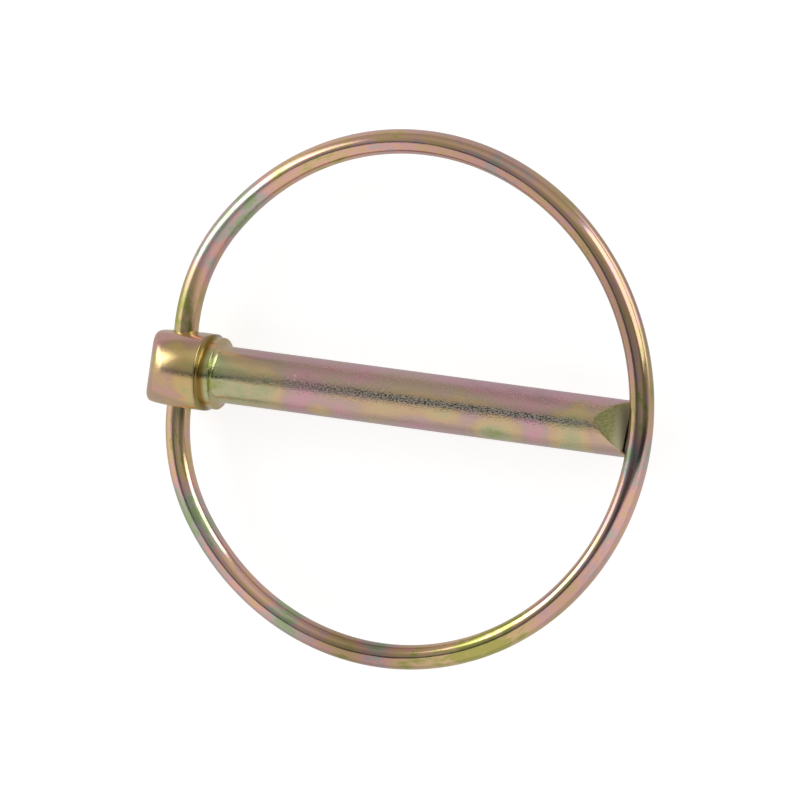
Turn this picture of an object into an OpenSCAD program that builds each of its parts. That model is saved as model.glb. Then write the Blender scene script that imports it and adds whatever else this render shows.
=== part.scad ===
// Wire lock pin: a headed steel pin and a round spring-wire ring that swings
// on the head's cross hole and closes round the tip.
// The pin lies along +X from its shoulder seat at the origin. The closed ring
// stands up from the XY plane by a small angle, and the bevel on the tip faces
// up, turned from +Z a little toward +Y.

/* [Shank] */
// Diameter of the round shank
shank_d = 9.525; // [8:0.025:10.5]
// Length of the shank from the shoulder seat to the end of the tip
shank_l = 74.3; // [55:0.1:110]
// Edge break round the end of the tip
tip_chamfer = 0.5; // [0.2:0.05:1]
// Length of the flat lead-in bevel on the tip
bevel_l = 4.4; // [3:0.1:9]
// Depth of the bevel at the end of the tip
bevel_depth = 3; // [1:0.1:3.6]
// Angle by which the bevel is turned round the shank, from up toward +Y
bevel_turn = 16; // [0:1:30]

/* [Head] */
// Diameter of the collar that makes the shoulder
collar_d = 12.1; // [11.2:0.1:14]
// Length of the collar's round rim
collar_l = 0.9; // [0.6:0.1:3]
// Rounding of the collar's seat-side edge
collar_edge_r = 0.35; // [0.1:0.05:0.5]
// Length of the slope from the collar up to the head block
slope_l = 1.2; // [0.6:0.1:2]
// Length of the whole head from the seat to the top of its crowned end
head_l = 12.5; // [11.5:0.1:18]
// Distance across the two flats that the wire enters through
head_flats = 12.4; // [11:0.1:13.5]
// Largest thickness of the barrel, across the two bulging faces
barrel_d = 14.6; // [14:0.1:18]
// Radius of the barrel's lengthwise bulge
barrel_r = 23.5; // [18:0.5:40]
// Distance from the seat to the barrel's thickest place
barrel_x = 4.5; // [3.5:0.1:6]
// Radius of the crowned end, about an axis along the cross hole
crown_r = 10; // [8.5:0.1:16]
// Rounding of the crowned end's corners
corner_r = 1.8; // [0.6:0.1:2]

/* [Cross hole] */
// Distance from the seat to the cross hole's axis
hole_x = 7.05; // [6:0.05:8]
// Running clearance on radius between the wire and the cross hole
hole_clear = 0.05; // [0.02:0.01:0.1]
// Edge break where the cross hole leaves the flats
hole_chamfer = 0.3; // [0.1:0.05:0.5]

/* [Ring] */
// Diameter of the spring wire
wire_d = 4.12; // [3:0.02:5]
// Gap between the closed ring and the end of the tip
tip_gap = 0.44; // [0.35:0.01:1.5]
// How far the ring is drawn in at the head from a full circle
ring_flat = 2.15; // [1.8:0.05:4]
// Angle by which the closed ring stands up from the pin, toward the bevel
ring_lift = 1.8; // [0:0.1:3]
// Straight wire left outside each flat before the bend begins
wire_lead = 0.7; // [0.3:0.1:2]
// Gap between the two wire ends inside the cross hole
end_gap = 0.4; // [0.2:0.05:1.5]

/* [Hidden] */
$fn = 96;

shank_r = shank_d/2;
collar_r = collar_d/2;
wire_r = wire_d/2;

// Each stretch of a piece is a hair thinner than the one it runs into, and
// reaches a little way into it, so that the stretches fuse to one solid.
thin = 0.02;
tuck = 0.5;
bend_wire_r = wire_r - thin;
end_r = wire_r - 2*thin;
hole_r = end_r + hole_clear;

// The bevel falls by its depth along its length.
bevel_ang = atan(bevel_depth/bevel_l);

// The barrel's side is an arc about a centre below the pin's axis.
arc_c = barrel_d/2 - barrel_r;
slope_x = collar_l + slope_l;
slope_r = arc_c + sqrt(pow(barrel_r, 2) - pow(barrel_x - slope_x, 2));

// The corner rounding is tangent to the arc and to a plane just past the
// crown, which trims it.
crown_trim = 0.4;
corner_plane = head_l + crown_trim;
corner_ang = asin((corner_plane - corner_r - barrel_x)/(barrel_r - corner_r));
corner_cr = arc_c + (barrel_r - corner_r)*cos(corner_ang);
corner_cx = corner_plane - corner_r;
join_r = arc_c + barrel_r*cos(corner_ang);
join_x = barrel_x + barrel_r*sin(corner_ang);

// The ring runs from the cross hole to just past the tip. Its main arc is
// drawn in at the head, and two wider bends lead from it into the flats.
reach = (hole_x + shank_l + tip_gap + wire_r)/cos(ring_lift);
ring_r = (reach + ring_flat)/2;
ring_c = reach - ring_r;
lead_y = head_flats/2 + wire_lead;
bend_r = reach/2 - pow(lead_y, 2)/(2*ring_flat);
bend_ang = atan(lead_y/(ring_c - bend_r));
tuck_ang = tuck/bend_r*180/PI;

// Overlap that fuses solids of one piece
fuse = 1;

// Turns a solid of revolution made along +Z to lie along the pin's axis.
module along_pin() {
    rotate([0, 90, 0]) children();
}

// Turns a solid made along +Z to lie along the cross hole's axis.
module along_hole() {
    rotate([-90, 0, 0]) children();
}

// Half section of the barrel: radius across, distance from the seat upward
// along the pin.
module barrel_section() {
    intersection() {
        translate([arc_c, -barrel_x]) circle(r = barrel_r);
        translate([0, -join_x]) square([barrel_d, join_x - slope_x]);
    }
    polygon([
        [0, -corner_plane],
        [corner_cr, -corner_plane],
        [corner_cr, -corner_cx],
        [join_r, -join_x],
        [0, -join_x]
    ]);
    intersection() {
        translate([corner_cr, -corner_cx]) circle(r = corner_r);
        translate([corner_cr, -corner_plane]) square([corner_r, corner_plane - join_x]);
    }
}

// Half section of the slope between the barrel and the collar. It is a hair
// thinner than both and reaches into them, so that they fuse to one solid.
module slope_section() {
    polygon([
        [0, -slope_x - fuse],
        [slope_r - thin, -slope_x - fuse],
        [slope_r - thin, -slope_x],
        [collar_r - thin, -collar_l],
        [collar_r - thin, -collar_l/2],
        [0, -collar_l/2]
    ]);
}

// Half section of the collar's rim, with its seat-side edge rounded.
module collar_section() {
    translate([0, -collar_l]) square([collar_r, collar_l - collar_edge_r]);
    translate([0, -collar_l]) square([collar_r - collar_edge_r, collar_l]);
    translate([collar_r - collar_edge_r, -collar_edge_r]) circle(r = collar_edge_r);
}

// The head: a barrel cut by two flats and a crowned end, sloping down to the
// collar.
module head() {
    intersection() {
        along_pin() {
            rotate_extrude() barrel_section();
            rotate_extrude() slope_section();
        }
        translate([-corner_plane - fuse, -head_flats/2, -barrel_d])
            cube([corner_plane + 2*fuse, head_flats, 2*barrel_d]);
        translate([crown_r - head_l, 0, 0])
            along_hole() cylinder(h = 2*barrel_d, r = crown_r, center = true);
    }
    along_pin() rotate_extrude() collar_section();
}

// The cross hole, with an edge break at each flat.
module cross_hole() {
    translate([-hole_x, 0, 0]) along_hole() {
        cylinder(h = head_flats + 2*fuse, r = hole_r, center = true);
        for (side = [-1, 1])
            translate([0, 0, side*head_flats/2])
                cylinder(
                    h = 2*hole_chamfer,
                    r1 = hole_r + hole_chamfer*(1 - side),
                    r2 = hole_r + hole_chamfer*(1 + side),
                    center = true
                );
    }
}

// The shank, from inside the head to its broken end edge.
module shank() {
    along_pin() rotate_extrude() polygon([
        [0, -slope_x - fuse],
        [shank_r, -slope_x - fuse],
        [shank_r, shank_l - tip_chamfer],
        [shank_r - tip_chamfer, shank_l],
        [0, shank_l]
    ]);
}

// The flat lead-in bevel that the ring slides up.
module tip_bevel() {
    rotate([-bevel_turn, 0, 0])
        translate([shank_l - bevel_l, -shank_d, shank_r])
            rotate([0, bevel_ang, 0])
                translate([-bevel_l, 0, 0])
                    cube([3*bevel_l, 2*shank_d, shank_d]);
}

// The pin: head, collar and shank upset from one bar, then drilled and bevelled.
module clevis_pin() {
    color([0.70, 0.62, 0.36])
        difference() {
            union() {
                head();
                shank();
            }
            cross_hole();
            tip_bevel();
        }
}

// A length of wire bent to an arc in the XY plane.
module wire_arc(bend, thick_r, from, sweep) {
    rotate([0, 0, from])
        rotate_extrude(angle = sweep)
            translate([bend, 0]) circle(r = thick_r);
}

// One side of the ring's head end: straight in the hole, then bent outward to
// meet the main arc.
module wire_end() {
    translate([0, end_gap/2, 0])
        along_hole() cylinder(h = lead_y - end_gap/2 + tuck, r = end_r);
    translate([bend_r, lead_y, 0])
        wire_arc(bend_r, bend_wire_r, 180 - bend_ang - tuck_ang, bend_ang + tuck_ang);
}

// The ring: one spring wire whose two ends meet inside the cross hole.
module wire_ring() {
    color([0.76, 0.71, 0.55])
        translate([-hole_x, 0, 0]) rotate([0, -ring_lift, 0]) {
            translate([ring_c, 0, 0])
                wire_arc(ring_r, wire_r, bend_ang - 180, 360 - 2*bend_ang);
            wire_end();
            mirror([0, 1, 0]) wire_end();
        }
}

clevis_pin();
wire_ring();
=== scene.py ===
# %% [markdown]
# # A wire lock pin
#
# The object is a plated steel pin, about as long as a finger, with a ring of
# spring wire that swings on its head and closes round its tip. The lesson
# loads the measured solids as a fixed frame, lays two finer surfaces over
# them, and gives each one the finish of yellow passivated zinc.

import bpy
import numpy as np
from mathutils import Matrix, Vector


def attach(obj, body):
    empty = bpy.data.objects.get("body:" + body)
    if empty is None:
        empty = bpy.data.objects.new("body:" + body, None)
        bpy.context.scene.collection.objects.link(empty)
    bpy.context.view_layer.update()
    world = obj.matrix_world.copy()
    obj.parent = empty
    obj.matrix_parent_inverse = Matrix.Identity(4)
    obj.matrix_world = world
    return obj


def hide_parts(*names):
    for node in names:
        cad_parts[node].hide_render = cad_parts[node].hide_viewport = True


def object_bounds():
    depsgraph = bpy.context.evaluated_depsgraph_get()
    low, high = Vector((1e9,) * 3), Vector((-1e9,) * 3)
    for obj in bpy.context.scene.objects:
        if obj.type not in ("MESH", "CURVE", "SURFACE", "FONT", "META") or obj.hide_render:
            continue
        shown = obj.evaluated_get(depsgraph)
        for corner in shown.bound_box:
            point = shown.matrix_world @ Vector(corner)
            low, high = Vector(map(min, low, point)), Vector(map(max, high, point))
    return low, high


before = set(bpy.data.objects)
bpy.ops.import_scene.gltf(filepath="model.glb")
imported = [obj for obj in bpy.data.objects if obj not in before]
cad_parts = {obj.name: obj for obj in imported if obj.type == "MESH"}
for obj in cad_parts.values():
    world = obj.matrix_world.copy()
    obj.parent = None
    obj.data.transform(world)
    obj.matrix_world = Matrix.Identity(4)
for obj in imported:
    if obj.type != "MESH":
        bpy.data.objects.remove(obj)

MM = 0.001
scene = bpy.context.scene
cad_low, cad_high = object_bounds()
print("solids span, mm:", [round((h - l) / MM, 2) for l, h in zip(cad_low, cad_high)])

# %% [markdown]
# ## The camera
#
# The photograph looks down on the pin from beyond its tip, from far away, so
# its edges stay almost parallel. A lens of about 700 mm at 2.6 m does the
# same. The three directions below are the picture's right, its top and the
# way back to the viewer, given in the part's own axes. The seat under the
# head is the origin, and its place in the picture is known. The camera is
# turned toward what lies in the middle, so its lens needs no shift.

# %% Camera
PICTURE = 800
MM_PER_PIXEL = 0.1675
DISTANCE = 2600.0
SEAT_PIXEL = (221.22, 373.92)
RIGHT = np.array([0.9169, 0.0960, -0.3875])
TOP = np.array([-0.1243, 0.9909, -0.0486])
BACK = np.array([0.3793, 0.0927, 0.9205])
SENSOR = 36.0

across = (PICTURE / 2 - SEAT_PIXEL[0]) * MM_PER_PIXEL
down = (PICTURE / 2 - SEAT_PIXEL[1]) * MM_PER_PIXEL
aim = across * RIGHT - down * TOP - DISTANCE * BACK
back = Vector(-aim).normalized()
right = Vector(TOP).cross(back).normalized()
up = back.cross(right)
turned = Matrix((right, up, back)).transposed().to_4x4()

lens = bpy.data.cameras.new("photo_camera")
lens.sensor_width = SENSOR
lens.lens = SENSOR * DISTANCE / (PICTURE * MM_PER_PIXEL)
lens.clip_start, lens.clip_end = 0.05, 50.0
camera = bpy.data.objects.new("photo_camera", lens)
camera.matrix_world = Matrix.Translation(Vector(BACK) * DISTANCE * MM) @ turned
scene.collection.objects.link(camera)
scene.camera = camera
print("lens, mm:", round(lens.lens, 1))

# %% [markdown]
# ## Closed shells from rings of points
#
# Both pieces are tubes with closed ends. A tube is a grid: one row of points
# round it for each step along it. Neighbouring rows are joined with
# four-sided faces, the last column is joined to the first, and one point
# closes each end with a fan of triangles. A second helper measures the volume,
# which is above zero only if the faces point outward.

# %% Shell helper
def shell(name, rings, start, end):
    """A closed tube: face (i, j) joins rows i and i+1 and columns j and j+1,
    counted round, and fans of triangles join the end rows to two points."""
    rows, cols = rings.shape[:2]
    points = np.concatenate([rings.reshape(-1, 3), [start], [end]])
    index = np.arange(rows * cols).reshape(rows, cols)
    side = np.roll(index, -1, axis=1)
    quads = np.stack([index[:-1], index[1:], side[1:], side[:-1]], axis=-1)
    first = np.stack([index[0], side[0], np.full(cols, rows * cols)], axis=-1)
    last = np.stack([side[-1], index[-1], np.full(cols, rows * cols + 1)], axis=-1)
    mesh = bpy.data.meshes.new(name)
    faces = quads.reshape(-1, 4).tolist() + first.tolist() + last.tolist()
    mesh.from_pydata((points * MM).tolist(), [], faces)
    mesh.polygons.foreach_set("use_smooth", np.ones(len(faces), bool))
    mesh.update()
    piece = bpy.data.objects.new(name, mesh)
    scene.collection.objects.link(piece)
    return piece


def volume(piece):
    """The sum over all triangles of the signed volume to the origin, in mm3."""
    mesh = piece.data
    mesh.calc_loop_triangles()
    corner = np.zeros(len(mesh.loop_triangles) * 3, np.int32)
    mesh.loop_triangles.foreach_get("vertices", corner)
    place = np.zeros(len(mesh.vertices) * 3, np.float32)
    mesh.vertices.foreach_get("co", place)
    a, b, c = place.reshape(-1, 3)[corner.reshape(-1, 3)].transpose(1, 0, 2) / MM
    return float(np.einsum("ij,ij->i", a, np.cross(b, c)).sum() / 6)


print("shell helper ready")

# %% [markdown]
# ## The pin's shape
#
# The real pin is upset from one bar: a barrel-shaped head pressed flat on two
# sides, a crowned end that leans a little, a cove down to a thin collar, and a
# round shank with a fillet at its root. Under the plating no edge is sharp. A
# bevel modifier on the solids would round all edges alike, so the shape is
# written as one number instead, the depth below the surface, which is made
# from the depths under the separate surfaces. Where two of them meet, a smooth
# maximum rounds the outer edge and a smooth minimum fills the inner corner.

# %% Smooth edges
def smooth_max(a, b, width):
    """max(a, b), raised by a parabola where the two differ by less than width."""
    close = np.maximum(width - np.abs(a - b), 0) / width
    return np.maximum(a, b) + close * close * width / 4


def smooth_min(a, b, width):
    """The mirror of smooth_max."""
    return -smooth_max(-a, -b, width)


print("an edge 0.6 mm wide loses, mm:", round(float(smooth_max(0.0, 0.0, 0.6)), 2))

# %% Depth of the head and collar, in millimetres
HEAD_L, FLATS, BARREL_R, BARREL_ARC, BARREL_X = 12.5, 12.4, 7.3, 23.5, 4.5
CROWN_R, CROWN_LEAN = 10.0, 0.047
COLLAR_R, COLLAR_L, COVE_L, COLLAR_BACK = 6.05, 0.9, 1.2, 4.0
FLAT_EDGE, CROWN_EDGE, WALL_EDGE, SEAT_EDGE = 0.6, 0.9, 0.25, 0.2


def head_depth(x, radius, turn):
    """The head's block: a barrel of revolution cut by two flats across Y, a
    crown about an axis nearly along Y and a wall that faces the shank. The
    crown's lean takes the end back by lean times the way from the lower flat."""
    arc = BARREL_R - BARREL_ARC
    barrel = np.hypot(x + BARREL_X, radius - arc) - BARREL_ARC
    flats = np.abs(radius * np.sin(turn)) - FLATS / 2
    back_off = CROWN_LEAN * (radius * np.sin(turn) + FLATS / 2)
    crown_x = x - back_off - (CROWN_R - HEAD_L)
    crown = np.hypot(crown_x, radius * np.cos(turn)) - CROWN_R
    wall = x + COLLAR_L + COVE_L
    depth = smooth_max(barrel, flats, FLAT_EDGE)
    depth = smooth_max(depth, crown, CROWN_EDGE)
    return smooth_max(depth, wall, WALL_EDGE)


def collar_depth(x, radius):
    """The collar's rim, with its seat-side edge rounded, running back into
    the block."""
    rim = smooth_max(radius - COLLAR_R, x, SEAT_EDGE)
    return np.maximum(rim, -COLLAR_BACK - x)


bulge = head_depth(-BARREL_X, BARREL_R, 0.0)
print("depth at the barrel's bulge, mm:", round(float(bulge), 3))

# %% [markdown]
# ## The shank and its bevel
#
# The ring has to slide up over the tip, so a lead-in bevel is ground on the
# tip's upper side. It is bowed a little, as a bevel ground on a wheel is, so
# its depth follows a parabola. The cove and the root's fillet are the smooth
# minimum that joins the collar to the head and the shank to both.

# %% Depth of the shank and of the whole pin, in millimetres
SHANK_R, SHANK_L, TIP_CHAMFER, SHANK_BACK = 4.7625, 74.3, 0.5, 3.0
BEVEL_L, BEVEL_SLOPE, BEVEL_BOW = 5.3, 0.1, 0.092
BEVEL_TURN = np.radians(16)
CHAMFER_EDGE, END_EDGE, BEVEL_EDGE = 0.2, 0.1, 0.12
COVE_FILL, ROOT_FILL = 1.3, 1.5


def bevel_depth(x, radius, turn):
    """The bevel ground on the tip's upper side, which falls by slope times run
    plus bow times run squared."""
    run = np.maximum(x - (SHANK_L - BEVEL_L), -1.0)
    fall = BEVEL_SLOPE + 2 * BEVEL_BOW * np.maximum(run, 0)
    floor = SHANK_R - BEVEL_SLOPE * run - BEVEL_BOW * np.maximum(run, 0) ** 2
    return (radius * np.cos(turn - BEVEL_TURN) - floor) / np.sqrt(1 + fall**2)


def shank_depth(x, radius, turn):
    """The shank, with its end edge broken and the bevel on its tip."""
    side = radius - SHANK_R
    end = x - SHANK_L
    broken = (end + TIP_CHAMFER + side) / np.sqrt(2)
    depth = smooth_max(smooth_max(side, broken, CHAMFER_EDGE), end, END_EDGE)
    depth = smooth_max(depth, bevel_depth(x, radius, turn), BEVEL_EDGE)
    return np.maximum(depth, -SHANK_BACK - x)


def pin_depth(x, radius, turn):
    """All of the pin: below zero inside it, zero on its surface."""
    collar = collar_depth(x, radius)
    head = smooth_min(head_depth(x, radius, turn), collar, COVE_FILL)
    return smooth_min(head, shank_depth(x, radius, turn), ROOT_FILL)


print("depth at the seat, mm:", round(float(pin_depth(0.0, 5.4, 0.0)), 3))

# %% [markdown]
# ## The pin's surface
#
# A ray from the pin's axis leaves the pin once. Along the head the rays fan
# out from one point, at the collar and the root they fan out from another, and
# along the shank they stand square to the axis. They stand closer together
# where the surface bends more: in the cove, round the seat's edge and at the
# tip. Halving the interval again and again finds where the depth is zero, for
# all the rays at once.

# %% Rays
COLUMNS = 256
HEAD_FAN_X, SEAT_FAN_X = -5.5, -3.0
EDGE_R, ROOT_R = 0.4, 0.5
turn = np.linspace(0, 2 * np.pi, COLUMNS, endpoint=False)


def fan(centre, x, radius):
    """Rays from the axis at centre toward the points (x, radius)."""
    start = np.full(len(x), float(centre))
    way = np.stack([x - start, radius], axis=1)
    return start, way / np.linalg.norm(way, axis=1)[:, None]


over_head, down_cove = np.linspace(0.8, 113.0, 130), np.linspace(113.3, 127.0, 50)
head_at = np.radians(np.concatenate([over_head, down_cove]))
edge_at = np.radians(np.linspace(90, 0, 14))
root_at = np.radians(np.linspace(180, 270, 12))

edge_x, edge_r = EDGE_R * (np.cos(edge_at) - 1), EDGE_R * (np.sin(edge_at) - 1)
seat_x = np.concatenate([np.linspace(-0.85, -0.45, 5), edge_x])
seat_r = np.concatenate([np.full(5, COLLAR_R), COLLAR_R + edge_r])
fillet_x, fillet_r = ROOT_R * (1 + np.cos(root_at)), ROOT_R * (1 + np.sin(root_at))
root_x = np.concatenate([[0.0, 0.0], fillet_x, [0.9, 1.4]])
root_r = np.concatenate([[5.56, 5.4], SHANK_R + fillet_r, [4.76, 4.76]])
long_x = np.concatenate([np.linspace(2.2, 68.4, 42), np.arange(68.5, 73.55, 0.1)])
last_x = [74.25, 74.27, 74.285, 74.295]
square_x = np.concatenate([long_x, np.arange(73.6, 74.22, 0.04), last_x])

rays = [
    fan(HEAD_FAN_X, HEAD_FAN_X - np.cos(head_at), np.sin(head_at)),
    fan(SEAT_FAN_X, seat_x, seat_r),
    fan(SEAT_FAN_X, root_x, root_r),
    (square_x, np.tile([0.0, 1.0], (len(square_x), 1))),
]
print("rows of rays:", [len(row) for row, _ in rays])

# %% Where the rays leave the pin
HALVINGS, OUTSIDE = 40, 9.5
start = np.concatenate([row for row, _ in rays])[:, None]
way = np.concatenate([row for _, row in rays])
way_x, way_r = way[:, :1], way[:, 1:]

near = np.zeros((len(start), COLUMNS))
far = np.full((len(start), COLUMNS), OUTSIDE)
for _ in range(HALVINGS):
    half = (near + far) / 2
    inside = pin_depth(start + way_x * half, way_r * half, turn) < 0
    near, far = np.where(inside, half, near), np.where(inside, far, half)
hit_x, hit_r = start + way_x * near, way_r * near
skin = np.stack([hit_x, hit_r * np.sin(turn), hit_r * np.cos(turn)], axis=-1)
print("furthest from the axis, mm:", round(float(hit_r.max()), 2))

# %% [markdown]
# ## The tip's end and the holes
#
# The flat end of the tip is the last row drawn in step by step to its middle.
# The hole that the wire turns in is then sunk into the two flats, a little
# wider than the wire. Points that lie close to its two circles are first
# pulled onto them, so that the rim comes out round. A boolean would cut the
# hole as well, but it would leave long thin faces round it.

# %% Pin surface
HOLE_X, HOLE_R, HOLE_RIM, HOLE_DEEP = 7.05, 2.16, 2.42, 1.6
PULL, FLAT_SKIN, HAIR = 0.06, 0.6, 0.001

tip_middle = np.array([SHANK_L, *skin[-1, :, 1:].mean(axis=0)])
drawn_in = np.linspace(0.96, 0.06, 14)[:, None, None]
end_face = tip_middle + (skin[-1] - tip_middle) * drawn_in
end_face[..., 0] = SHANK_L
skin = np.concatenate([skin, end_face])

from_hole = np.hypot(skin[..., 0] + HOLE_X, skin[..., 2])
on_flat = np.abs(skin[..., 1]) > FLATS / 2 - FLAT_SKIN
for circle in (HOLE_R, HOLE_RIM):
    snap = on_flat & (np.abs(from_hole - circle) < PULL)
    pull = np.where(snap, circle / np.maximum(from_hole, 0.1), 1.0)
    skin[..., 0] = (skin[..., 0] + HOLE_X) * pull - HOLE_X
    skin[..., 2] *= pull
    from_hole = np.hypot(skin[..., 0] + HOLE_X, skin[..., 2])
rim = np.clip(HOLE_RIM - from_hole, 0, 1)
sunk = np.where(from_hole < HOLE_R - HAIR, HOLE_DEEP, rim)
skin[..., 1] -= np.where(on_flat, np.sign(skin[..., 1]) * sunk, 0)

head_middle = (CROWN_LEAN * FLATS / 2 - HEAD_L, 0, 0)
pin = shell("pin", skin, head_middle, tip_middle)
print("pin rows and columns:", skin.shape[:2], "volume, mm3:", round(volume(pin)))

# %% [markdown]
# ## The wire's path
#
# The ring is one length of round spring wire: straight in the hole, a wide
# bend, then most of a circle, and the same back again. A curve object with a
# round bevel could follow it, but here the path is worked out as points with
# headings, because the finish needs to know how far along the wire it is.

# %% Path of the wire, in millimetres
WIRE_R, TIP_GAP, RING_FLAT, WIRE_LEAD = 2.06, 0.44, 2.15, 0.7
RING_LIFT = np.radians(1.8)
LEAD_ROWS, BOW_ROWS, LOOP_ROWS = 8, 60, 720
END_Y = FLATS / 2 - HOLE_DEEP + 0.2

reach = (HOLE_X + SHANK_L + TIP_GAP + WIRE_R) / np.cos(RING_LIFT)
ring_r = (reach + RING_FLAT) / 2
ring_c = reach - ring_r
lead_y = FLATS / 2 + WIRE_LEAD
bend_r = reach / 2 - lead_y**2 / (2 * RING_FLAT)
bend_turn = np.arctan2(lead_y, ring_c - bend_r)
loop_turn = np.pi - bend_turn


def arc_points(centre, size, first, last, count):
    """Points and headings on an arc about centre, from angle first to last."""
    angle = np.linspace(first, last, count)
    spot = np.stack([np.cos(angle), np.sin(angle)], axis=1)
    heading = np.stack([-spot[:, 1], spot[:, 0]], axis=1) * np.sign(last - first)
    return np.asarray(centre) + size * spot, heading


lead = np.stack([np.zeros(LEAD_ROWS), np.linspace(END_Y, lead_y, LEAD_ROWS)], axis=1)
lead_way = np.tile([0.0, 1.0], (LEAD_ROWS, 1))
bow, bow_way = arc_points((bend_r, lead_y), bend_r, np.pi, loop_turn, BOW_ROWS)
upper = np.concatenate([lead[:-1], bow[:-1]])
upper_way = np.concatenate([lead_way[:-1], bow_way[:-1]])
loop, loop_way = arc_points((ring_c, 0), ring_r, loop_turn, -loop_turn, LOOP_ROWS)
path = np.concatenate([upper, loop, upper[::-1] * [1, -1]])
heading = np.concatenate([upper_way, loop_way, upper_way[::-1] * [-1, 1]])
step = np.linalg.norm(np.diff(path, axis=0), axis=1)
along = np.concatenate([[0], np.cumsum(step)])
print("wire length, mm:", round(float(along[-1]), 1))

# %% [markdown]
# ## The ring's surface
#
# A circle is carried along the path. The closed ring stands up from the pin by
# a small angle. Each point also keeps its place on the straightened wire as an
# attribute, so that the drawing lines of the finish can follow the wire round.

# %% Ring surface
WIRE_COLUMNS = 64
roll = np.linspace(0, 2 * np.pi, WIRE_COLUMNS, endpoint=False)
outward = np.stack([-heading[:, 1], heading[:, 0]], axis=1)
flat = path[:, None, :] + WIRE_R * np.cos(roll)[None, :, None] * outward[:, None, :]
lift = np.broadcast_to(WIRE_R * np.sin(roll), flat.shape[:2])


def to_frame(plane, height):
    """Ring-plane points turned up by the lift about the hole and moved to it."""
    run, rise = np.cos(RING_LIFT), np.sin(RING_LIFT)
    x = plane[..., 0] * run - height * rise - HOLE_X
    z = plane[..., 0] * rise + height * run
    return np.stack([x, plane[..., 1], z], axis=-1)


wire = to_frame(flat, lift)
ends = to_frame(path[[0, -1]], np.zeros(2))
ring = shell("ring", wire, ends[0], ends[1])

far_along = np.broadcast_to(along[:, None], lift.shape)
sideways = np.broadcast_to(WIRE_R * np.cos(roll), lift.shape)
straight = np.stack([far_along, sideways, lift], axis=-1).reshape(-1, 3)
straight = np.concatenate([straight, [[along[0], 0, 0], [along[-1], 0, 0]]]) * MM
wire_place = ring.data.attributes.new("wire_place", "FLOAT_VECTOR", "POINT")
wire_place.data.foreach_set("vector", straight.astype(np.float32).ravel())
print("ring rows and columns:", wire.shape[:2], "volume, mm3:", round(volume(ring)))

# %% [markdown]
# ## A helper for materials
#
# Every finish is a small network of nodes. One function adds a node, sets its
# settings and its inputs, and links whatever is handed to it as a socket. The
# colours are the ones a paint program shows, so another function turns them
# into the linear values that the shader works in.

# %% Node helper
def colour(hex_code):
    """sRGB hex to linear: below 0.04045 a straight line, above it a power."""
    value = np.array([int(hex_code[i : i + 2], 16) for i in (1, 3, 5)]) / 255
    curve = ((value + 0.055) / 1.055) ** 2.4
    return (*np.where(value <= 0.04045, value / 12.92, curve).tolist(), 1.0)


def add(tree, kind, inputs=None, stops=(), **settings):
    """Adds a node of that kind. A socket in inputs is linked, a value is set.
    A ramp's stops are places from 0 to 1, each with a linear colour."""
    node = tree.nodes.new(kind)
    for key, value in settings.items():
        setattr(node, key, value)
    for key, value in (inputs or {}).items():
        if isinstance(value, bpy.types.NodeSocket):
            tree.links.new(value, node.inputs[key])
        else:
            node.inputs[key].default_value = value
    marks = node.color_ramp.elements if stops else []
    while len(marks) < len(stops):
        marks.new(1.0)
    for mark, (place, shade) in zip(marks, stops):
        mark.position = place
        mark.color = shade
    return node


def per(size_mm):
    """How often a pattern of that size in millimetres repeats in a metre."""
    return 1000.0 / size_mm


def blank(name):
    """A new material with an empty network."""
    made = bpy.data.materials.new(name)
    made.use_nodes = True
    made.node_tree.nodes.clear()
    return made, made.node_tree


def note(piece, name, values, at_ends):
    """Writes one number for each point into a new attribute of the mesh, the
    two end points last."""
    made = piece.data.attributes.new(name, "FLOAT", "POINT")
    numbers = np.concatenate([values.ravel(), at_ends])
    made.data.foreach_set("value", numbers.astype(np.float32))


print("mid grey in linear values:", round(colour("#808080")[0], 3))

# %% [markdown]
# ## Stains on the pin
#
# The steel is zinc plated and dipped in a yellow passivate. The film is so
# thin that it shows colours like oil on water, in soft patches some
# millimetres long. Noise alone would put the patches anywhere, so the main
# stains are listed one by one. The film's depth at a point is the mean of the
# stains near it, kept on the mesh as an attribute.

# %% Stains on the pin
# Place along the pin in mm, turn round it in degrees, reach along and round it
# in mm, and film depth: olive near 0, straw near 0.2, sand near 0.4, rose
# above 0.5
STAINS = [
    (4, -25, 4.5, 4, 0.07),
    (10, -22, 3, 3, 0.12),
    (15.5, -25, 2.5, 4, 0.5),
    (19, -22, 4, 3, 0.56),
    (28, -36, 3, 2, 0.36),
    (23, -22, 2.5, 2, 0.53),
    (19.5, -46, 1.7, 1.5, -0.04),
    (24, -9, 2.5, 1.1, 0.26),
    (33, -16, 3.5, 2, 0.2),
    (41, -16, 4, 2, 0.2),
    (38, -42, 7, 1.8, 0.54),
    (46.5, -24, 2, 3, 0.53),
    (52.5, -18, 3, 2, 0.2),
    (51, -42, 3.2, 1.8, -0.04),
    (59, -20, 3, 4, 0.54),
    (65, -25, 3.2, 4, 0.04),
    (70, -35, 2, 3, 0.5),
    (38, 24, 12, 2, 0.24),
    (1, 25, 2.5, 3, 0.02),
    (66, 12, 1.5, 3, 0.06),
    (22, 50, 18, 3, 0.5),
    (55, 55, 20, 3, 0.62),
    (-8.2, -10, 1.8, 1.6, 0.36),
    (-9.5, -27, 1.1, 1.0, 0.58),
    (-6.8, -34, 1.8, 1.5, 0.5),
    (-4.4, -18, 1.2, 1.1, 0.14),
    (-5.7, -44, 1.5, 1.2, 0.3),
    (-6, 24, 3, 2.5, 0.22),
    (-10, 54, 3, 2.4, 0.54),
    (-3.5, 54, 1.6, 2.4, 0.6),
    (-1.5, -20, 1.2, 9, 0.22),
    (-1.5, 80, 1.2, 6, 0.22),
    (-7, 90, 3, 2.6, 0.16),
    (-7, -90, 3, 2.6, 0.16),
    (71.5, 16, 2.5, 3, 0.08),
    (75.5, 0, 1.2, 9, 0.22),
]
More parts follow.
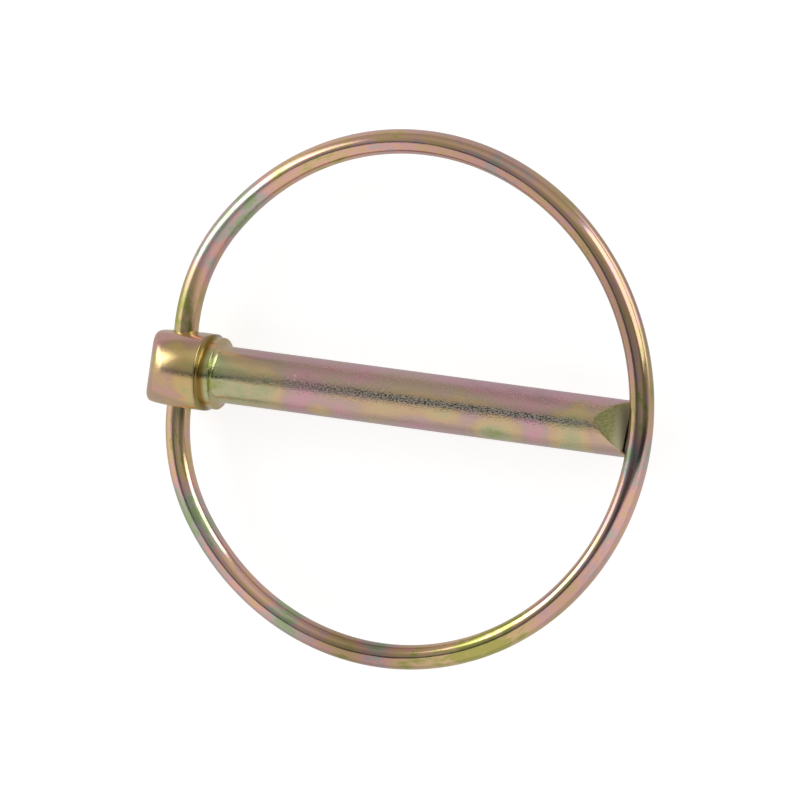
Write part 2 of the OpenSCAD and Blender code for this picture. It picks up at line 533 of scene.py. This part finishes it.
BETWEEN, BETWEEN_WEIGHT, AT_TIP = 0.44, 0.08, 0.22
skin_x = skin[..., 0]
off_axis = np.hypot(skin[..., 1], skin[..., 2])
around = np.arctan2(skin[..., 1], skin[..., 2])


def film_depth(x, radius, angle):
    """How deep the film is: the mean of the depth between stains and of the
    stains near by, each weighing exp(-(distance over reach)^2)."""
    weight, total = BETWEEN_WEIGHT, BETWEEN_WEIGHT * BETWEEN
    for at, turned_by, length, girth, depth in STAINS:
        turned_off = np.angle(np.exp(1j * (angle - np.radians(turned_by))))
        off = ((x - at) / length) ** 2 + (radius * turned_off / girth) ** 2
        close = np.exp(-off)
        weight, total = weight + close, total + close * depth
    return total / weight


pin_film = film_depth(skin_x, off_axis, around)
note(pin, "film", pin_film, [BETWEEN, AT_TIP])
shallow, deep = float(pin_film.min()), float(pin_film.max())
print("film depth from", round(shallow, 2), "to", round(deep, 2))

# %% [markdown]
# ## Marks of making, painted shade and a painted reflection on the pin
#
# Four places aren't plain film. The bevel was ground. The cove under the head is
# painted brown, as painted shade of the deep recess. The tip's end face and a thin
# band before it are painted dark, as painted shade in the gap between the tip and
# the ring. A dark streak with light specks runs along the shank's upper side: a
# painted reflection of the tent's dark mouth, with painted glints. Each is a
# number from 0 to 1 on the mesh, because a place is easier to describe here, with
# the pin's own sizes, than with nodes.

# %% Marks on the pin
BEVEL_SKIN = 0.05
COVE_X, COVE_HALF, COVE_OUT = -1.45, 0.75, 5.9
END_BAND, END_FADE, END_FACE_SHADE = 0.32, 0.1, 0.7
STREAK_TURN, SHANK_OUT = 5.0, 4.9

off_bevel = np.abs(bevel_depth(skin_x, off_axis, around)) / BEVEL_SKIN
ground = np.clip(1.5 - off_bevel, 0, 1) * (skin_x > SHANK_L - BEVEL_L)
note(pin, "ground", ground, [0.0, 0.0])

# Painted shade: the cove under the head is painted brown, standing in for the shade of the
# deep recess.
off_cove = np.abs(skin_x - COVE_X) / COVE_HALF
note(pin, "cove", np.clip(1.3 - off_cove, 0, 1) * (off_axis > COVE_OUT), [0.0, 0.0])

# Painted shade: the tip's end face and the band before it are painted dark, standing in
# for the shade in the gap between the tip and the ring.
end_edge = np.clip((skin_x - SHANK_L + END_BAND) / END_FADE, 0, 1)
end_shade = np.where(skin_x > SHANK_L - HAIR, END_FACE_SHADE, end_edge)
note(pin, "end", end_shade, [0.0, END_FACE_SHADE])

# Painted reflection: a dark streak along the shank's upper side stands in for the
# reflection of the tent's dark mouth.
streak_half = np.interp(skin_x, [25, 48], [9.0, 6.5])
off_streak = (np.degrees(around) - STREAK_TURN) / streak_half
reflection_strength = np.interp(
    skin_x, [0, 6, 15, 32, 62, 69], [0.0, 0.12, 0.35, 0.9, 0.95, 0.5]
)
painted_reflection = reflection_strength * np.exp(-(off_streak**4)) * (off_axis < SHANK_OUT) * (1 - ground)
note(pin, "painted_reflection", painted_reflection, [0.0, 0.0])
print("points on the bevel:", int((ground > 0.5).sum()))

# %% [markdown]
# ## The film's colours on the pin
#
# A ramp gives each film depth its colour, in the order in which a deepening
# film shows them. Noise moves the depth up and down a little between the
# stains, more on the head than on the shank, and the patches are twice as long
# as they are wide. The head is a shade more golden.

# %% Film on the pin
# Zinc plate under a yellow passivate film: to the eye a bright, clean metal in
# pale olive, straw and rose, whose reflections are broken up by fine pits
PIN_COLOURS = [
    (0.00, "#A2B060"),
    (0.09, "#BCC29A"),
    (0.22, "#D5C599"),
    (0.32, "#D6BC9A"),
    (0.42, "#C9B4A7"),
    (0.54, "#D8ABB7"),
    (0.66, "#C3A5AB"),
    (0.80, "#BAB3A6"),
    (0.92, "#B4BC90"),
]
PIN_PATCH_MM, PIN_SWING = 4.0, 0.15

pin_plate, pin_tree = blank("zinc_yellow_passivated_pin")
pin_at = add(pin_tree, "ShaderNodeTexCoord").outputs["Object"]
pin_x = add(pin_tree, "ShaderNodeSeparateXYZ", {0: pin_at}).outputs["X"]
stretched = add(
    pin_tree, "ShaderNodeMapping", {"Vector": pin_at, "Scale": (0.5, 1, 1)}
).outputs[0]
pin_patches = add(
    pin_tree,
    "ShaderNodeTexNoise",
    {
        "Vector": stretched,
        "Scale": per(PIN_PATCH_MM),
        "Detail": 6.0,
        "Roughness": 0.72,
    },
)
pin_swing = add(
    pin_tree,
    "ShaderNodeMapRange",
    {
        "Value": pin_patches.outputs["Fac"],
        "From Min": 0.25,
        "From Max": 0.75,
        "To Min": -PIN_SWING,
        "To Max": PIN_SWING,
    },
)
print("patches on the pin, mm:", PIN_PATCH_MM)

# %% Colours of the pin
HEAD_GAIN = 1.7
in_head = add(
    pin_tree,
    "ShaderNodeMapRange",
    {
        "Value": pin_x,
        "From Min": -4 * MM,
        "From Max": 2 * MM,
        "To Min": 1.0,
        "To Max": 0.0,
    },
).outputs[0]
gain = add(
    pin_tree,
    "ShaderNodeMapRange",
    {"Value": in_head, "To Min": 1.0, "To Max": HEAD_GAIN},
)
pin_stains = add(pin_tree, "ShaderNodeAttribute", attribute_name="film")
pin_order = add(
    pin_tree,
    "ShaderNodeMath",
    {0: pin_swing.outputs[0], 1: gain.outputs[0], 2: pin_stains.outputs["Fac"]},
    operation="MULTIPLY_ADD",
)
pin_tint = add(
    pin_tree,
    "ShaderNodeValToRGB",
    {"Fac": pin_order.outputs[0]},
    stops=[(place, colour(code)) for place, code in PIN_COLOURS],
)
golden = add(
    pin_tree,
    "ShaderNodeMix",
    {"Factor": in_head, "A": pin_tint.outputs[0], "B": colour("#FFF9E0")},
    data_type="RGBA",
    blend_type="MULTIPLY",
)
print("film colours on the pin:", len(PIN_COLOURS))

# %% [markdown]
# ## The ground bevel
#
# Grinding left fine scores along the bevel and took some of the film's shine.
# Noise drawn out ten times along the pin gives the scores. Toward the end, next
# to the ring, the colour is painted lighter: a painted highlight that offsets
# the ring's dark reflection there. Real scores are finer than a pixel of the
# picture, so they are drawn as coarse as they need to show.

# %% Bevel finish
SCORE_MM = 0.22
swept = add(
    pin_tree, "ShaderNodeMapping", {"Vector": pin_at, "Scale": (0.1, 1, 1)}
).outputs[0]
strokes = add(
    pin_tree,
    "ShaderNodeTexNoise",
    {"Vector": swept, "Scale": per(SCORE_MM), "Detail": 2.0, "Roughness": 0.6},
)
scored = add(
    pin_tree,
    "ShaderNodeMapRange",
    {"Value": strokes.outputs["Fac"], "From Min": 0.35, "From Max": 0.65},
)
cut = add(
    pin_tree,
    "ShaderNodeMix",
    {"Factor": scored.outputs[0], "A": colour("#848A4C"), "B": colour("#ACA684")},
    data_type="RGBA",
)
toward_end = add(
    pin_tree,
    "ShaderNodeMapRange",
    {
        "Value": pin_x,
        "From Min": 72 * MM,
        "From Max": 74.2 * MM,
        "To Min": 0.0,
        "To Max": 0.85,
    },
)
# Painted highlight: toward its end, beside the ring, the bevel is mixed toward pale cream.
lightened_end = add(
    pin_tree,
    "ShaderNodeMix",
    {
        "Factor": toward_end.outputs[0],
        "A": cut.outputs["Result"],
        "B": colour("#FFFADC"),
    },
    data_type="RGBA",
)
on_bevel = add(pin_tree, "ShaderNodeAttribute", attribute_name="ground").outputs["Fac"]
bared = add(
    pin_tree,
    "ShaderNodeMix",
    {"Factor": on_bevel, "A": golden.outputs["Result"], "B": lightened_end.outputs["Result"]},
    data_type="RGBA",
)
print("scores on the bevel, mm apart:", SCORE_MM)

# %% [markdown]
# ## The cove, the end and the streak: painted shade and a painted reflection
#
# The painted shade of the cove and of the tip's end is laid over the film by
# the numbers on the mesh. The streak is a painted dark reflection with light
# specks in it, which are painted glints, and the specks are the same noise that
# pits the plate, so that each light speck is also a bump. Real pits are some
# hundredths of a millimetre, less than a pixel here, so they too are drawn as
# coarse as they need to show.

# %% Cove, end and streak
SPECK_MM = 0.17
# Painted shade in the cove: the film's colour is mixed toward dark brown.
cove_shade = add(pin_tree, "ShaderNodeAttribute", attribute_name="cove").outputs["Fac"]
cove_shaded = add(
    pin_tree,
    "ShaderNodeMix",
    {"Factor": cove_shade, "A": bared.outputs["Result"], "B": colour("#8C7234")},
    data_type="RGBA",
)
# Painted shade on the tip's end: the colour is mixed toward dark brown.
end_shade_amount = add(pin_tree, "ShaderNodeAttribute", attribute_name="end").outputs["Fac"]
end_shaded = add(
    pin_tree,
    "ShaderNodeMix",
    {"Factor": end_shade_amount, "A": cove_shaded.outputs["Result"], "B": colour("#4A3620")},
    data_type="RGBA",
)
specks = add(
    pin_tree,
    "ShaderNodeTexNoise",
    {"Vector": stretched, "Scale": per(SPECK_MM), "Detail": 1.0, "Roughness": 0.5},
).outputs["Fac"]
# Painted reflection: dark with light specks, and the specks are painted glints.
glint_share = add(
    pin_tree,
    "ShaderNodeMapRange",
    {"Value": specks, "From Min": 0.43, "From Max": 0.5},
)
reflection_tone = add(
    pin_tree,
    "ShaderNodeMix",
    {"Factor": glint_share.outputs[0], "A": colour("#2E2A28"), "B": colour("#D0C8BE")},
    data_type="RGBA",
)
in_reflection = add(pin_tree, "ShaderNodeAttribute", attribute_name="painted_reflection").outputs["Fac"]
with_reflection = add(
    pin_tree,
    "ShaderNodeMix",
    {
        "Factor": in_reflection,
        "A": end_shaded.outputs["Result"],
        "B": reflection_tone.outputs["Result"],
    },
    data_type="RGBA",
)
print("specks, mm across:", SPECK_MM)

# %% [markdown]
# ## Shine and pits of the pin
#
# The shank shines most, the head is a little duller and the ground bevel is
# matt. The pits are shallow by the head and deeper along the shank, which is
# where the photograph's reflections break up. A metallic shader then takes the
# colour, the roughness and the bump.

# %% Pin shader
HEAD_ROUGH, BEVEL_ROUGH = 0.2, 0.6
shank_rough = add(
    pin_tree,
    "ShaderNodeMapRange",
    {
        "Value": specks,
        "From Min": 0.3,
        "From Max": 0.7,
        "To Min": 0.15,
        "To Max": 0.1,
    },
)
plate_rough = add(
    pin_tree,
    "ShaderNodeMapRange",
    {"Value": in_head, "To Min": shank_rough.outputs[0], "To Max": HEAD_ROUGH},
)
pin_rough = add(
    pin_tree,
    "ShaderNodeMapRange",
    {"Value": on_bevel, "To Min": plate_rough.outputs[0], "To Max": BEVEL_ROUGH},
)
plate_pits = add(
    pin_tree,
    "ShaderNodeMapRange",
    {
        "Value": pin_x,
        "From Min": 0.0,
        "From Max": 14 * MM,
        "To Min": 0.016 * MM,
        "To Max": 0.055 * MM,
    },
)
pits = add(
    pin_tree,
    "ShaderNodeMapRange",
    {"Value": on_bevel, "To Min": plate_pits.outputs[0], "To Max": 0.01 * MM},
)
pin_grain = add(
    pin_tree,
    "ShaderNodeBump",
    {"Height": specks, "Strength": 1.0, "Distance": pits.outputs[0]},
)
pin_metal = add(
    pin_tree,
    "ShaderNodeBsdfPrincipled",
    {
        "Base Color": with_reflection.outputs["Result"],
        "Metallic": 1.0,
        "Roughness": pin_rough.outputs[0],
        "Normal": pin_grain.outputs[0],
    },
)
add(pin_tree, "ShaderNodeOutputMaterial", {"Surface": pin_metal.outputs[0]})
pin.data.materials.append(pin_plate)
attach(pin, "pin")
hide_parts("clevis_pin")
print("pin finish:", len(pin_tree.nodes), "nodes")

# %% [markdown]
# ## Bands on the ring
#
# The wire was plated in the same bath, where it touched its neighbours and
# drained, and this left bands of colour along it. They are listed by the bearing
# from the ring's middle. So are some stretches that are painted darker, as
# painted shade. By the head the wire is satin rather than bright, and on the
# side that faces the pin's tip it is painted dark, as painted shade between the
# ring and the tip.

# %% Bands on the ring
# Bearing in degrees, from the tip toward +Y, reach in degrees, and film depth
BANDS = [
    (20, 14, 0.3),
    (55, 14, 0.46),
    (90, 14, 0.62),
    (122, 8, 0.42),
    (141, 5, 0.9),
    (152, 4, 0.6),
    (170, 9, 0.06),
    (190, 8, 0.3),
    (215, 6, 0.95),
    (231, 8, 0.58),
    (246, 3, 1.0),
    (254, 4, 0.64),
    (262, 4, 0.1),
    (270, 4, 0.9),
    (281, 6, 0.3),
    (297, 12, 0.02),
    (316, 6, 0.36),
    (338, 12, 0.58),
    (354, 4, 0.86),
]
WIRE_BETWEEN, WIRE_BETWEEN_WEIGHT = 0.5, 0.1
bearing = np.degrees(np.arctan2(path[:, 1], path[:, 0] - ring_c))


def close_to(middle, spread):
    """How close each row of the wire is to a bearing: exp(-(degrees off over
    spread)^2), counted the shorter way round."""
    off = (bearing - middle + 180) % 360 - 180
    return np.exp(-((off / spread) ** 2))


def note_rows(name, rows, at_ends):
    """Writes one number for each row of the wire into a new attribute."""
    note(ring, name, np.repeat(rows, WIRE_COLUMNS), at_ends)


weight, total = WIRE_BETWEEN_WEIGHT, WIRE_BETWEEN_WEIGHT * WIRE_BETWEEN
for middle, spread, depth in BANDS:
    weight = weight + close_to(middle, spread)
    total = total + close_to(middle, spread) * depth
note_rows("film", total / weight, [WIRE_BETWEEN, WIRE_BETWEEN])
print("bands on the ring:", len(BANDS))

# %% Painted shade and satin on the ring
# Bearing and reach in degrees, and how much painted shade
RING_SHADE = [
    (25, 28, 0.85),
    (75, 32, 0.65),
    (150, 30, 0.45),
    (220, 16, 0.35),
    (265, 20, 0.95),
    (318, 18, 0.48),
]
SATIN_AT, SATIN_REACH = 150, 32
TIP_SHADE_X, TIP_SHADE_FADE, TIP_SHADE_Y, TIP_SHADE_SIDE = 75.5, 0.5, 5.6, 2.0

# Painted shade: these stretches of the ring are darkened by bearing, standing in for
# darker reflections there.
ring_shade = sum(much * close_to(middle, spread) for middle, spread, much in RING_SHADE)
note_rows("painted_ring_shade", ring_shade, [0.0, 0.0])
note_rows("satin", close_to(SATIN_AT, SATIN_REACH), [0.0, 0.0])

# Painted shade: where the wire faces the tip's end it is painted dark, standing in for the
# shade between the ring and the tip.
facing_tip = np.clip((TIP_SHADE_X - wire[..., 0]) / TIP_SHADE_FADE, 0, 1)
beside_tip = np.clip((TIP_SHADE_Y - np.abs(wire[..., 1])) / TIP_SHADE_SIDE, 0, 1)
tip_shade_mask = facing_tip * beside_tip * (wire[..., 0] > SHANK_L - BEVEL_L)
note(ring, "painted_tip_shade", tip_shade_mask, [0.0, 0.0])
print("darkest row of the wire:", round(float(ring_shade.max()), 2))

# %% [markdown]
# ## The film's colours on the ring
#
# The wire's ramp is paler than the pin's. Two noises move the film's depth,
# one for patches and one for flecks. Both are read from the place on the
# straightened wire and drawn out along it, because in the picture the colours
# run along the wire in long thin flames and not across it.

# %% Film on the ring
# Zinc plate under a yellow passivate film, on drawn spring wire: to the eye a
# bright metal in pale straw, rose and grey green, streaked along the wire
WIRE_COLOURS = [
    (0.00, "#C4C270"),
    (0.12, "#DACB91"),
    (0.25, "#EFD29F"),
    (0.40, "#F2CDAA"),
    (0.52, "#F9CBB8"),
    (0.64, "#F2C3C6"),
    (0.76, "#DDCCBF"),
    (0.88, "#D1D1CB"),
    (1.00, "#BBD0A1"),
]
WIRE_PATCH_MM, WIRE_SWING = 3.6, 0.42
FLECK_MM, FLECK_SWING = 0.9, 0.18

wire_plate, wire_tree = blank("zinc_yellow_passivated_wire")
wire_at = add(
    wire_tree, "ShaderNodeAttribute", attribute_name="wire_place"
).outputs["Vector"]
drawn_out = add(
    wire_tree, "ShaderNodeMapping", {"Vector": wire_at, "Scale": (0.4, 1, 1)}
).outputs[0]
wire_bands = add(wire_tree, "ShaderNodeAttribute", attribute_name="film")
wire_order = wire_bands.outputs["Fac"]
for size_mm, swing, detail, mix in (
    (WIRE_PATCH_MM, WIRE_SWING, 4.0, 0.65),
    (FLECK_MM, FLECK_SWING, 2.0, 0.6),
):
    noise = add(
        wire_tree,
        "ShaderNodeTexNoise",
        {
            "Vector": drawn_out,
            "Scale": per(size_mm),
            "Detail": detail,
            "Roughness": mix,
        },
    )
    moved = add(
        wire_tree,
        "ShaderNodeMapRange",
        {
            "Value": noise.outputs["Fac"],
            "From Min": 0.25,
            "From Max": 0.75,
            "To Min": -swing,
            "To Max": swing,
        },
    )
    wire_order = add(
        wire_tree,
        "ShaderNodeMath",
        {0: wire_order, 1: moved.outputs[0]},
        operation="ADD",
    ).outputs[0]
print("patches and flecks on the ring, mm:", WIRE_PATCH_MM, FLECK_MM)

# %% Colours of the ring
wire_tint = add(
    wire_tree,
    "ShaderNodeValToRGB",
    {"Fac": wire_order},
    stops=[(place, colour(code)) for place, code in WIRE_COLOURS],
)
# Painted shade along stretches of the ring: the colour is multiplied by grey.
ring_shade_amount = add(wire_tree, "ShaderNodeAttribute", attribute_name="painted_ring_shade").outputs["Fac"]
ring_shaded = add(
    wire_tree,
    "ShaderNodeMix",
    {"Factor": ring_shade_amount, "A": wire_tint.outputs[0], "B": colour("#BCBCBC")},
    data_type="RGBA",
    blend_type="MULTIPLY",
)
# Painted shade on the wire beside the tip: the colour is mixed toward dark brown.
tip_shade_amount = add(wire_tree, "ShaderNodeAttribute", attribute_name="painted_tip_shade").outputs["Fac"]
tip_shaded = add(
    wire_tree,
    "ShaderNodeMix",
    {"Factor": tip_shade_amount, "A": ring_shaded.outputs["Result"], "B": colour("#3E2A18")},
    data_type="RGBA",
)
print("film colours on the ring:", len(WIRE_COLOURS))

# %% [markdown]
# ## Drawing lines on the wire
#
# Drawing the wire through a die left long fine lines. They are noise drawn out
# more than thirty times along the straightened wire, which gives both a slight
# change of shine and a shallow bump. The real lines are finer than a pixel, so
# they are drawn as coarse as they need to show.

# %% Ring shader
LINE_MM, LINE_DEPTH, SATIN_ROUGH = 0.5, 0.022 * MM, 0.3
lined = add(
    wire_tree, "ShaderNodeMapping", {"Vector": wire_at, "Scale": (0.03, 1, 1)}
).outputs[0]
lines = add(
    wire_tree,
    "ShaderNodeTexNoise",
    {"Vector": lined, "Scale": per(LINE_MM), "Detail": 2.0, "Roughness": 0.5},
).outputs["Fac"]
line_rough = add(
    wire_tree,
    "ShaderNodeMapRange",
    {
        "Value": lines,
        "From Min": 0.3,
        "From Max": 0.7,
        "To Min": 0.16,
        "To Max": 0.12,
    },
)
by_head = add(wire_tree, "ShaderNodeAttribute", attribute_name="satin").outputs["Fac"]
wire_rough = add(
    wire_tree,
    "ShaderNodeMapRange",
    {"Value": by_head, "To Min": line_rough.outputs[0], "To Max": SATIN_ROUGH},
)
wire_grain = add(
    wire_tree,
    "ShaderNodeBump",
    {"Height": lines, "Strength": 1.0, "Distance": LINE_DEPTH},
)
wire_metal = add(
    wire_tree,
    "ShaderNodeBsdfPrincipled",
    {
        "Base Color": tip_shaded.outputs["Result"],
        "Metallic": 1.0,
        "Roughness": wire_rough.outputs[0],
        "Normal": wire_grain.outputs[0],
    },
)
add(wire_tree, "ShaderNodeOutputMaterial", {"Surface": wire_metal.outputs[0]})
ring.data.materials.append(wire_plate)
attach(ring, "ring")
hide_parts("wire_ring")
print("ring finish:", len(wire_tree.nodes), "nodes")

# %% [markdown]
# ## The floor
#
# The photograph was cut out on white, so the floor is a wide white sheet just
# under the part. Lamps strong enough to make it white would burn out the
# metal, so part of its white is its own glow, seen by the eye and, weaker, in
# reflections, which leaves a faint shadow. Beside the tip a round pool glows
# in reflections only. It stands for a low soft box, which gives the ring's
# right side its long highlight.

# %% Floor
FLOOR_HALF = 6.0
floor_z = cad_low[2] - 0.0002
corners = [(-1, -1), (1, -1), (1, 1), (-1, 1)]
sheet = bpy.data.meshes.new("floor")
sheet.from_pydata(
    [(a * FLOOR_HALF, b * FLOOR_HALF, floor_z) for a, b in corners], [], [(0, 1, 2, 3)]
)
floor = bpy.data.objects.new("floor", sheet)
scene.collection.objects.link(floor)
print("floor at, mm:", round(floor_z / MM, 2))

# %% White paper
# White paper: to the eye an even white with only a faint shadow on it
EYE_GLOW, METAL_GLOW = 0.78, 0.4

paper, paper_tree = blank("white_paper")
seen = add(paper_tree, "ShaderNodeLightPath").outputs
to_eye = add(
    paper_tree,
    "ShaderNodeMath",
    {0: seen["Is Camera Ray"], 1: seen["Is Transmission Ray"]},
    operation="MAXIMUM",
)
in_metal = add(
    paper_tree,
    "ShaderNodeMath",
    {0: seen["Is Glossy Ray"], 1: METAL_GLOW},
    operation="MULTIPLY",
)
any_of = add(
    paper_tree,
    "ShaderNodeMath",
    {0: to_eye.outputs[0], 1: in_metal.outputs[0]},
    operation="MAXIMUM",
)
glow = add(
    paper_tree,
    "ShaderNodeMath",
    {0: any_of.outputs[0], 1: EYE_GLOW},
    operation="MULTIPLY",
)
print("glow to the eye and in metal:", EYE_GLOW, round(EYE_GLOW * METAL_GLOW, 2))

# %% Pool of light
PAPER_GREY = 0.42
POOL_AT, POOL_GLOW = (122 * MM, 62 * MM, floor_z), 1.7

spot_at = add(paper_tree, "ShaderNodeTexCoord").outputs["Object"]
from_pool = add(
    paper_tree, "ShaderNodeVectorMath", {0: spot_at, 1: POOL_AT}, operation="DISTANCE"
)
pool = add(
    paper_tree,
    "ShaderNodeMapRange",
    {
        "Value": from_pool.outputs["Value"],
        "From Min": 30 * MM,
        "From Max": 52 * MM,
        "To Min": POOL_GLOW,
        "To Max": 0.0,
    },
    interpolation_type="SMOOTHSTEP",
)
pooled = add(
    paper_tree,
    "ShaderNodeMath",
    {0: pool.outputs[0], 1: seen["Is Glossy Ray"], 2: glow.outputs[0]},
    operation="MULTIPLY_ADD",
)
grey = (PAPER_GREY, PAPER_GREY, PAPER_GREY, 1)
lit = add(paper_tree, "ShaderNodeBsdfDiffuse", {"Color": grey})
own = add(paper_tree, "ShaderNodeEmission", {"Strength": pooled.outputs[0]})
both = add(paper_tree, "ShaderNodeAddShader", {0: lit.outputs[0], 1: own.outputs[0]})
add(paper_tree, "ShaderNodeOutputMaterial", {"Surface": both.outputs[0]})
sheet.materials.append(paper)
print("paper:", len(paper_tree.nodes), "nodes")

# %% [markdown]
# ## The light tent
#
# Bright metal shows little but what it reflects, so the studio matters as
# much as the finish. The world is a tent, whose light changes with height
# above the table that the part stood on in the studio. It has one set of
# levels for its walls and another, with a dark band, for its mouth, where the
# camera looks in. A grey card beside the camera dims a part of the mouth. All
# of this is fixed to the part's own axes.

# %% World
# Height from 0, straight down, to 1, straight up, and the light from there
WALLS = [(0.485, 0.80), (0.50, 0.36), (0.56, 0.46), (0.85, 0.46), (1.0, 0.46)]
MOUTH = [
    (0.488, 0.80),
    (0.494, 0.03),
    (0.545, 0.05),
    (0.60, 0.36),
    (0.78, 0.42),
    (0.87, 0.62),
    (0.93, 0.70),
    (1.0, 0.56),
]
TENT_TINTS = [
    (0.485, "#FFF5F4"),
    (0.50, "#E4EEFF"),
    (0.58, "#EEF4FF"),
    (0.68, "#FFFBEC"),
]
TABLE_UP = 0.084 * RIGHT + 0.937 * TOP + 0.338 * BACK
CARD = 0.47 * RIGHT - 0.05 * TOP + 0.88 * BACK
CARD_SHADE = 0.5

world = bpy.data.worlds.new("light_tent")
scene.world = world
world.use_nodes = True
tent_tree = world.node_tree
tent_tree.nodes.clear()
way_out = add(tent_tree, "ShaderNodeTexCoord").outputs["Generated"]
rise, ahead, beside = [
    add(
        tent_tree,
        "ShaderNodeVectorMath",
        {0: way_out, 1: tuple(toward)},
        operation="DOT_PRODUCT",
    ).outputs["Value"]
    for toward in (TABLE_UP, BACK, CARD)
]
height = add(
    tent_tree, "ShaderNodeMapRange", {"Value": rise, "From Min": -1.0, "From Max": 1.0}
).outputs[0]
walls, mouth = [
    add(
        tent_tree,
        "ShaderNodeValToRGB",
        {"Fac": height},
        stops=[(place, (shine, shine, shine, 1.0)) for place, shine in levels],
    ).outputs[0]
    for levels in (WALLS, MOUTH)
]
tint = add(
    tent_tree,
    "ShaderNodeValToRGB",
    {"Fac": height},
    stops=[(place, colour(code)) for place, code in TENT_TINTS],
)
print("tent levels:", len(WALLS), "on the walls,", len(MOUTH), "in the mouth")

# %% Mouth and card of the tent
front = add(
    tent_tree,
    "ShaderNodeMapRange",
    {"Value": ahead, "From Min": 0.2, "From Max": 0.75},
    interpolation_type="SMOOTHSTEP",
)
level = add(
    tent_tree,
    "ShaderNodeMapRange",
    {"Value": front.outputs[0], "To Min": walls, "To Max": mouth},
)
card = add(
    tent_tree,
    "ShaderNodeMapRange",
    {
        "Value": beside,
        "From Min": 0.91,
        "From Max": 0.975,
        "To Min": 1.0,
        "To Max": CARD_SHADE,
    },
    interpolation_type="SMOOTHSTEP",
)
shaded = add(
    tent_tree,
    "ShaderNodeMath",
    {0: level.outputs[0], 1: card.outputs[0]},
    operation="MULTIPLY",
)
tent = add(
    tent_tree,
    "ShaderNodeBackground",
    {"Color": tint.outputs[0], "Strength": shaded.outputs[0]},
)
add(tent_tree, "ShaderNodeOutputWorld", {"Surface": tent.outputs[0]})
print("tent:", len(tent_tree.nodes), "nodes")

# %% [markdown]
# ## Soft boxes
#
# Two soft boxes stand to the left and to the right, and the left one has a
# brighter core, as a real one does in front of its bulb. They are close to the
# part, so they show in the metal as broad highlights with soft ends.

# %% Soft boxes
# Direction along the picture's right, its top and toward the viewer, distance
# in m, size in m, and how brightly the face shines
BOXES = [
    ("box_left", (-0.92, 0.38, 0.12), 0.36, (0.24, 0.24), 1.1),
    ("box_left_core", (-0.913, 0.38, 0.155), 0.34, (0.13, 0.18), 2.2),
    ("box_right", (0.612, 0.478, 0.63), 0.45, (0.34, 0.26), 1.9),
]
PART_MIDDLE = Vector((0.0337, 0, 0))


def soft_box(name, direction, away, size, shine):
    """A flat lamp at a distance from the part, facing it, whose face shines
    evenly: power is shine times pi times area."""
    made = bpy.data.lights.new(name, "AREA")
    made.shape = "RECTANGLE"
    made.size, made.size_y = size
    made.energy = shine * np.pi * size[0] * size[1]
    lamp = bpy.data.objects.new(name, made)
    toward = direction[0] * RIGHT + direction[1] * TOP + direction[2] * BACK
    toward = Vector(toward).normalized()
    lamp.location = PART_MIDDLE + toward * away
    lamp.rotation_mode = "QUATERNION"
    lamp.rotation_quaternion = (-toward).to_track_quat("-Z", "Y")
    scene.collection.objects.link(lamp)


for box in BOXES:
    soft_box(*box)

# %% [markdown]
# ## The view
#
# The view is set to show colours as they are.

# %% Finish
bpy.context.scene.view_settings.view_transform = "Standard"
